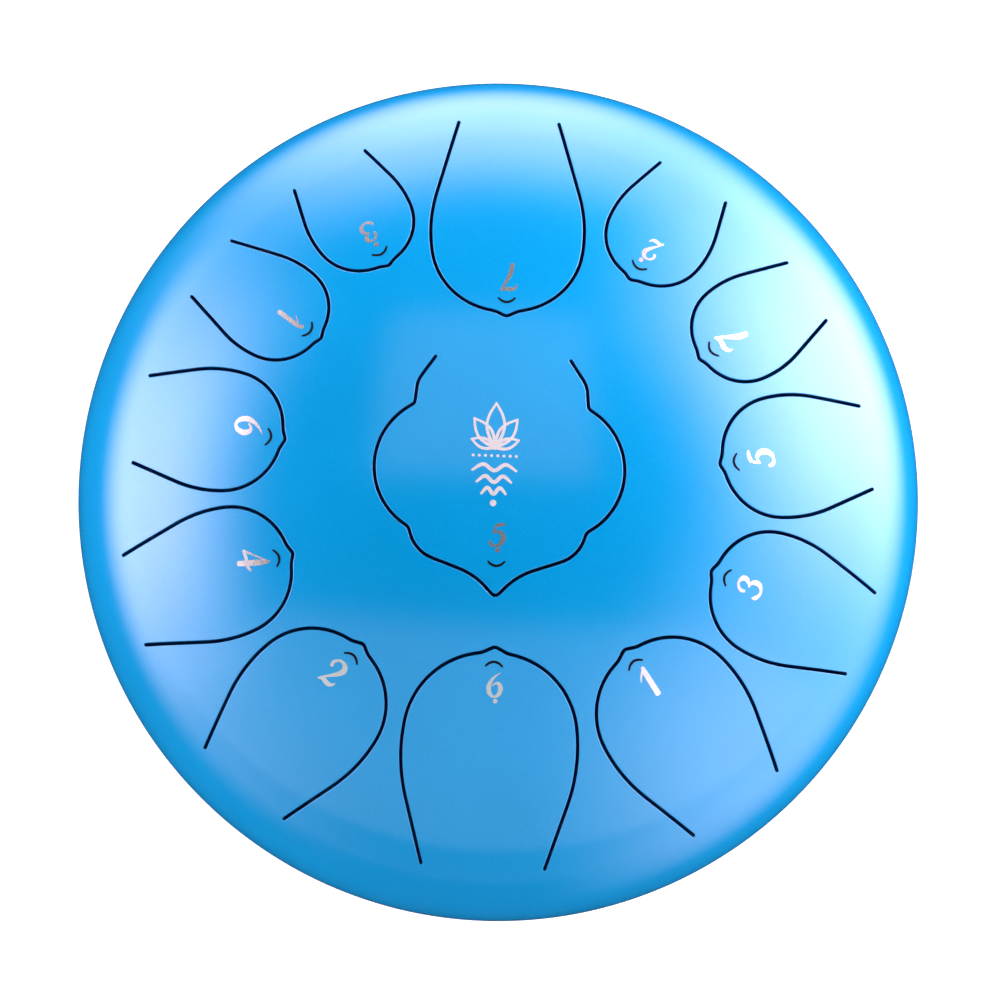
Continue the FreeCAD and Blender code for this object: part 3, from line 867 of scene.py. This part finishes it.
def to_drum(name, local):
    """Plan points on the drum from points given across and along a tongue, from its tip."""
    tip, direction, _length = PLACES[name]
    across = np.array([direction[1], -direction[0]])
    return tip + np.outer(local[:, 0], across) + np.outer(local[:, 1], direction)


def slot_cuts(name):
    """The edge loops that a tongue's slot gives to the tongue and to the shell."""
    local = centre_tongue_outline() if name == "low_5" else ring_tongue_outline(*RING_TONGUES[name])
    line = to_drum(name, softened(local))
    left = line_normals(line)
    kept = thinned(line, left)
    line, left = line[kept], left[kept]
    middle = PLACES[name][0] + PLACES[name][1] * PLACES[name][2] / 2
    inwards = left if left[0] @ (middle - line[0]) > 0 else -left
    half_slot = SLOT_WIDTH / 2

    def cap(end, outward):
        """Round end of the slot, from the tongue's side to the shell's side."""
        angles = np.linspace(0, math.pi, SLOT_END_POINTS)
        return np.array([inwards[end] * math.cos(a) + outward * math.sin(a) for a in angles])

    first_cap = cap(0, unit(line[0] - line[1]))
    last_cap = cap(-1, unit(line[-1] - line[-2]))[::-1]
    shell_wall = np.concatenate([
        line[0] + first_cap[:-1] * half_slot,
        line - inwards * half_slot,
        line[-1] + last_cap[1:] * half_slot,
    ])
    shell_void = np.concatenate([-first_cap[:-1], inwards, -last_cap[1:]])
    tongue_cut = Cut(line + inwards * half_slot, -inwards, SLOT_EDGE)
    shell_cut = Cut(shell_wall, shell_void, SLOT_EDGE)
    first, last = tongue_cut.surface()[[0, -1]]
    steps = round(np.linalg.norm(last - first) / ROOT_STEP)
    shares = np.linspace(0, 1, steps + 1)[1:-1, None]
    bow = PLACES[name][1] * ROOT_BOW * 4 * shares * (1 - shares)
    tongue_cut.root = shell_cut.root = last + (first - last) * shares + bow
    return tongue_cut, shell_cut


def head_skin(cuts, rim_start, clearance):
    """Mesh of a head with its cuts, laid out in plan as far as rim_start and turned beyond it."""
    builder = Builder()
    rims = add_sheet(builder, cuts, rim_start, clearance, circle(rim_start, AROUND))
    add_rim(builder, rims, rim_start)
    return builder


def make_upper_shell_and_tongues():
    shell_cuts = []
    for name, (_tip, direction, length) in PLACES.items():
        tongue_cut, shell_cut = slot_cuts(name)
        shell_cuts.append(shell_cut)
        builder = Builder()
        add_sheet(builder, [tongue_cut], RIM_START, FIELD_CLEARANCE)
        piece = builder.build("tongue_%s_skin" % name, PAINT, UPPER_HEAD)
        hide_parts("tongue_" + name)
        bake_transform(piece)

    skin = head_skin(shell_cuts, RIM_START, SHELL_FIELD_CLEARANCE)
    piece = skin.build("upper_shell_skin", PAINT, UPPER_HEAD)
    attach(piece, "drum")
    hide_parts("upper_shell")


def petal_outline():
    """One petal of the sound hole, pointing along +X: two equal arcs."""
    radius, reach = arc_over((PETAL_OUTER_POINT - PETAL_INNER_POINT) / 2, PETAL_HALF_WIDTH)
    angles = np.linspace(-reach, reach, PETAL_POINTS)
    side = np.column_stack([np.sin(angles) * radius, (np.cos(angles) - 1) * radius + PETAL_HALF_WIDTH])
    outline = np.concatenate([side, side[-2:0:-1] * [1, -1]])
    return outline + [(PETAL_OUTER_POINT + PETAL_INNER_POINT) / 2, 0]


def hole_cut(outline):
    """Edge loop of a hole from its closed outline, which may run either way."""
    normals = line_normals(outline, closed=True)
    middle = outline.mean(axis=0)
    inwards = normals if ((middle - outline) * normals).sum() > 0 else -normals
    return Cut(outline, inwards, HOLE_EDGE)


def make_lower_shell():
    cuts = [hole_cut(circle(SOUND_HOLE_RADIUS, SOUND_HOLE_SIDES))]
    petal = softened(petal_outline(), closed=True)[::2]
    for index in range(PETAL_COUNT):
        angle = index * 2 * math.pi / PETAL_COUNT
        turn = np.array([[math.cos(angle), -math.sin(angle)], [math.sin(angle), math.cos(angle)]])
        cuts.append(hole_cut(petal @ turn.T))
    for middle in circle(FOOT_RING_RADIUS, FOOT_COUNT, shift=FOOT_BEARING * FOOT_COUNT / 360):
        cuts.append(hole_cut(circle(NUT_HOLE_RADIUS, NUT_HOLE_SIDES, middle)))
    skin = head_skin(cuts, LOWER_RIM_START, FIELD_CLEARANCE)
    piece = skin.build("lower_shell_skin", PAINT, LOWER_HEAD)
    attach(piece, "drum")
    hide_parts("lower_shell")


def make_girth_weld():
    """The ground weld under the paint, with its low bead inside."""
    half_face = WELD_FACE_WIDTH / 2
    half_root = WELD_ROOT_GAP / 2
    half_bead = WELD_BEAD_WIDTH / 2
    crown_radius, reach = arc_over(half_face, WELD_CROWN)
    outer_centre = (DRUM_RADIUS + WELD_CROWN - crown_radius, 0)
    outer = arc_run(outer_centre, crown_radius, RIGHT_ANGLE - reach, RIGHT_ANGLE + reach, WELD_STEPS)
    bead_radius, bead_reach = arc_over(half_bead, WELD_BEAD_HEIGHT)
    bead_centre = (INNER_RADIUS - WELD_BEAD_HEIGHT + bead_radius, 0)
    bead_start, bead_end = -RIGHT_ANGLE - bead_reach, -RIGHT_ANGLE + bead_reach
    bead = arc_run(bead_centre, bead_radius, bead_start, bead_end, BEAD_STEPS)
    upper_side = [(INNER_RADIUS, half_bead), (INNER_RADIUS, half_root), (DRUM_RADIUS, half_face)]
    lower_side = [(radius, -height) for radius, height in reversed(upper_side)]
    runs = [*straight_runs(upper_side), outer, *straight_runs(lower_side), bead]
    builder = Builder()
    ring = builder.add(np.column_stack([circle(INNER_RADIUS, AROUND), np.full(AROUND, half_bead)]))
    lathe(builder, runs, ring, ring)
    piece = builder.build("girth_weld_skin", PAINT, UPPER_HEAD)
    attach(piece, "drum")
    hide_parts("girth_weld")


# ---- marks ----

def spline(points, steps=9):
    """Smooth line through points of any number of columns."""
    points = np.asarray(points, float)
    padded = np.concatenate([[2 * points[0] - points[1]], points, [2 * points[-1] - points[-2]]])
    line = []
    for a, b, c, d in zip(padded, padded[1:], padded[2:], padded[3:]):
        for share in np.arange(steps) / steps:
            square = (2 * a - 5 * b + 4 * c - d) * share ** 2
            cube = (3 * b - a - 3 * c + d) * share ** 3
            line.append(0.5 * (2 * b + (c - a) * share + square + cube))
    return np.array(line + [points[-1]])


def stroke_outline(points):
    """Closed outline of a pen stroke through (x, y, width) points, in the points' own unit."""
    line = spline(points)
    left = line_normals(line[:, :2])
    half = np.maximum(line[:, 2:3], THINNEST_STROKE) / 2
    line = line[:, :2]

    def cap(end, way):
        """Slightly rounded end of a stroke, from its left side to its right side or back."""
        ahead = np.array([left[end][1], -left[end][0]]) * way
        angles = np.linspace(0, math.pi, STROKE_END_POINTS)[1:-1]
        side = left[end] * way
        return [
            line[end] + half[end] * (side * math.cos(a) + ahead * math.sin(a) * STROKE_END_ROUNDING)
            for a in angles
        ]

    return np.concatenate([line + left * half, cap(-1, 1), (line - left * half)[::-1], cap(0, -1)])


def foil_mark(name, outlines, tongue, material):
    """A thin raised mark on a tongue from outlines in millimetres across and along it."""
    outlines = [to_drum(tongue, np.asarray(outline) * MM) for outline in outlines]
    plan = np.concatenate(outlines)
    starts = np.cumsum([0] + [len(outline) for outline in outlines])
    plan, _numbers, regions = plan_regions(plan, [np.arange(a, b) for a, b in zip(starts, starts[1:])])
    corners = np.concatenate([region for region, middle in regions if in_any(middle, outlines)])
    builder = Builder()
    top = builder.add(on_skin(plan, 0, -FOIL_HEIGHT * MM))
    base = builder.add(on_skin(plan, 0, FOIL_SINK * MM))
    normals = skin_normal(plan, 0)
    builder.add_faces(top[corners], normals[corners])
    builder.add_faces(base[corners], -normals[corners])

    # The sides stand on the edges that only one triangle uses.
    sides = np.concatenate([corners[:, [0, 1]], corners[:, [1, 2]], corners[:, [2, 0]]])
    opposite = np.concatenate([corners[:, 2], corners[:, 0], corners[:, 1]])
    sorted_sides = np.sort(sides, axis=1)
    _keys, index, count = np.unique(sorted_sides, axis=0, return_index=True, return_counts=True)
    for first, second, inner in zip(*sides[index[count == 1]].T, opposite[index[count == 1]]):
        across = plan[second] - plan[first]
        facing = unit(np.array([-across[1], across[0], 0]))
        if facing[:2] @ (plan[inner] - plan[first]) > 0:
            facing = -facing
        quad = np.array([[top[first], top[second], base[second], base[first]]])
        builder.add_faces(quad, np.tile(facing, (1, 4, 1)))
    piece = builder.build(name, material, UPPER_HEAD)
    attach(piece, "note_" + tongue)
    return piece


def disc(centre, radius):
    return circle(radius, DISC_SIDES, centre)


def make_marks(tongue, silver, black):
    """Numeral, octave dot and arc of one tongue."""
    top, height, shift, arc, dot = MARKS[tongue]
    size = height / 10
    facing = 1 if top < 0 else -1
    base = abs(top) - height if top < 0 else top + height
    outlines = []
    for points in NUMERALS[tongue[-1]]:
        stroke = np.array(points) * size * (1, 1, PEN_SHARE)
        outline = stroke_outline(stroke)
        outlines.append(outline * [facing, facing] + [facing * shift, base])
    if dot is not None:
        outlines.append(disc((facing * dot[0], dot[1]), DOT_RADIUS))
    foil = foil_mark("numeral_" + tongue, outlines, tongue, silver)
    crescent = [
        (CRESCENT_HALF_WIDTH * across, arc + CRESCENT_RISE * rise, CRESCENT_WIDTH * pen)
        for across, rise, pen in CRESCENT_SHARES
    ]
    ink = foil_mark("arc_" + tongue, [stroke_outline(crescent)], tongue, black)


def make_ornament(silver):
    """A generic ornament: a blossom, a row of beads, three waves and a dot."""
    outlines = []

    def band(points):
        outlines.append(stroke_outline([(x + ORNAMENT_SHIFT, y, width) for x, y, width in points]))

    def dot(x, y, radius):
        outlines.append(disc((x + ORNAMENT_SHIFT, y), radius))

    for angle, length in BLOSSOM_PETALS:
        lean = math.radians(angle)
        for side in (-1, 1):
            petal_line = []
            for share in (0, 0.25, 0.5, 0.75, 1):
                out = length * share
                bulge = side * BLOSSOM_BULGE * length * math.sin(math.pi * share)
                x = out * math.sin(lean) + bulge * math.cos(lean)
                y = out * math.cos(lean) - bulge * math.sin(lean)
                petal_line.append((x, y + BLOSSOM_FOOT, BLOSSOM_PEN - BLOSSOM_TAPER * share))
            band(petal_line)
        dot(length * math.sin(lean), length * math.cos(lean) + BLOSSOM_FOOT, BLOSSOM_TIP_DOT)
    dot(0, BLOSSOM_FOOT + 0.1, BLOSSOM_BASE_DOT)
    for index in range(BEAD_COUNT):
        dot((index - (BEAD_COUNT - 1) / 2) * BEAD_PITCH, BEAD_ROW, BEAD_RADIUS)
    thin, full = WAVE_PENS
    for index, width in enumerate(WAVE_HALF_WIDTHS):
        crest = WAVE_ROW - index * WAVE_PITCH + WAVE_RISE
        trough = crest - WAVE_RISE - WAVE_FALL
        band([
            (-width, trough, thin), (-width / 2, crest, full), (0, trough, full),
            (width / 2, crest, full), (width, trough, thin),
        ])
    dot(0, LAST_DOT_ROW, LAST_DOT_RADIUS)
    foil = foil_mark("ornament", outlines, "low_5", silver)


make_upper_shell_and_tongues()
make_lower_shell()
make_girth_weld()

SILVER = plain("silver_foil", (0.77, 0.88, 0.91), 0.2, metallic=0.85, scale=1200, spread=0.05)
SILVER_PRINT = plain("silver_print", (0.66, 0.74, 0.78), 0.4, metallic=0.3, scale=1500, spread=0.08)
BLACK = plain("black_ink", (0.002, 0.003, 0.007), 0.6, scale=1200, gloss=0.1)
for tongue_name in PLACES:
    make_marks(tongue_name, SILVER, BLACK)
make_ornament(SILVER_PRINT)

RUBBER = plain("foot_rubber", (0.018, 0.018, 0.02), 0.75, scale=1500)
STEEL = plain("zinc_steel", (0.62, 0.63, 0.65), 0.3, metallic=1.0, scale=900, spread=0.08)
for node_name, node in frame["nodes"].items():
    if "foot" in node_name or "rivet" in node_name:
        for index in range(len(node.material_slots)):
            node.material_slots[index].material = RUBBER if "rubber" in node_name else STEEL


# ---- stage, lights and camera ----

FLOOR_REACH = 6.0
FLOOR_LEVEL = -0.1 * MM


def make_stage():
    """Plain floor, large enough to fill every view and a hair under the feet."""
    mesh = bpy.data.meshes.new("floor")
    signs = ((-1, -1), (1, -1), (1, 1), (-1, 1))
    corners = [(FLOOR_REACH * x, FLOOR_REACH * y, FLOOR_LEVEL) for x, y in signs]
    mesh.from_pydata(corners, [], [(0, 1, 2, 3)])
    floor = new_object("floor", mesh)
    shader = Shader(
        "floor_paper", Base_Color=(0.9, 0.9, 0.9, 1), Roughness=0.9,
        Emission_Color=(1, 1, 1, 1), Emission_Strength=0.5,
    )
    mesh.materials.append(shader.material)
    floor.visible_glossy = False


# Soft boxes: place of the middle, direction they face, width, height and brightness.
PANELS = (
    ("ceiling_panel", (-0.12, 0.99, 2.55), (0, 0, -1), 1.7, 1.46, 0.55),
    ("front_panel", (0, -1.7, 2.9), (0, 1, 0), 7.0, 3.8, 0.55),
    ("front_low_panel", (0, -1.7, 0.5), (0, 1, 0), 7.0, 1.0, 0.15),
)


def add_panel(name, place, aim, width, tall, brightness):
    """A flat soft box, as bright as that multiple of white."""
    light = bpy.data.lights.new(name, "AREA")
    light.shape = "RECTANGLE"
    light.size = width
    light.size_y = tall
    light.energy = brightness * math.pi * width * tall
    panel = new_object(name, light)
    panel.location = place
    panel.rotation_euler = Vector(aim).to_track_quat("-Z", "Y").to_euler()
    panel.visible_camera = False


# Soft glows round the horizon: bearing, half width and edge softness, then the elevations between
# which the glow rises and falls (none, full, full, none), all in degrees, and its brightness.
GLOWS = (
    ("right", 26, 26, 22, (-40, 2, 20, 60), 9.8),
    ("front_right", -32, 28, 22, (-45, -5, 30, 66), 2.1),
    ("back", 92, 27, 21, (-50, -8, 18, 36), 4.3),
    ("behind", 90, 50, 26, (-45, -10, 8, 34), 0.7),
    ("left", 173, 26, 22, (-22, 13, 28, 50), 5.9),
    ("far_left", 208, 26, 22, (-25, 5, 20, 54), 0.9),
)
GLOW_COLOUR = (1.0, 0.73, 0.78, 1.0)
EVEN_GLOW = 0.01


def make_world():
    """A dark studio with soft glows round it, as from large diffusers."""
    world = bpy.data.worlds.new("studio")
    world.use_nodes = True
    bpy.context.scene.world = world
    nodes, links = world.node_tree.nodes, world.node_tree.links

    def maths(operation, *values):
        node = nodes.new("ShaderNodeMath")
        node.operation = operation
        for socket, value in zip(node.inputs, values):
            if isinstance(value, (int, float)):
                socket.default_value = value
            else:
                links.new(value, socket)
        return node.outputs["Value"]

    def fade(value, full, none):
        """1 up to `full` degrees, smoothly down to 0 at `none`."""
        node = nodes.new("ShaderNodeMapRange")
        node.interpolation_type = "SMOOTHSTEP"
        set_inputs(node, From_Min=math.radians(full), From_Max=math.radians(none), To_Min=1.0, To_Max=0.0)
        links.new(value, node.inputs["Value"])
        return node.outputs["Result"]

    towards = nodes.new("ShaderNodeTexCoord").outputs["Generated"]
    total = EVEN_GLOW
    for _name, bearing, half_width, softness, heights, brightness in GLOWS:
        turn = nodes.new("ShaderNodeVectorRotate")
        turn.rotation_type = "Z_AXIS"
        set_inputs(turn, Angle=-math.radians(bearing))
        links.new(towards, turn.inputs["Vector"])
        split = nodes.new("ShaderNodeSeparateXYZ")
        links.new(turn.outputs["Vector"], split.inputs["Vector"])
        aside = maths("ABSOLUTE", maths("ARCTAN2", split.outputs["Y"], split.outputs["X"]))
        above = maths("ARCSINE", split.outputs["Z"])
        across = fade(aside, half_width - softness, half_width + softness)
        rise = fade(above, heights[1], heights[0])
        fall = fade(above, heights[2], heights[3])
        glow = maths("MULTIPLY", maths("MULTIPLY", across, rise), fall)
        total = maths("ADD", total, maths("MULTIPLY", glow, brightness))
    background = nodes["Background"]
    set_inputs(background, Color=GLOW_COLOUR)
    links.new(total, background.inputs["Strength"])


# Camera: a long lens nearly above the drum. The leans are from straight above, in degrees.
CAMERA_DISTANCE = 1.6
CAMERA_LENS = 160.6
LEAN_LEFT = 0.7
LEAN_TO_PLAYER = 4.9
CAMERA_TURN = 2.0
AIM_RIGHT = 0.57 * MM
AIM_UP = 0.32 * MM


def make_camera():
    """A long lens above the player's side, turned a little about its own axis."""
    spin = Matrix.Rotation(math.radians(CAMERA_TURN), 3, "Z")
    towards = spin @ Vector((-math.radians(LEAN_LEFT), -math.radians(LEAN_TO_PLAYER), 1)).normalized()
    up_hint = spin @ Vector((0, 1, 0))
    right = up_hint.cross(towards).normalized()
    up = towards.cross(right)
    data = bpy.data.cameras.new("camera")
    data.sensor_width = 36.0
    data.lens = CAMERA_LENS
    camera = new_object("camera", data)
    aim = Vector((0, 0, GIRTH)) + right * AIM_RIGHT + up * AIM_UP
    rotation = Matrix((right, up, towards)).transposed()
    camera.matrix_world = Matrix.Translation(aim + towards * CAMERA_DISTANCE) @ rotation.to_4x4()
    bpy.context.scene.camera = camera


make_stage()
make_world()
for panel_row in PANELS:
    add_panel(*panel_row)
make_camera()
bpy.context.scene.view_settings.view_transform = "Standard"
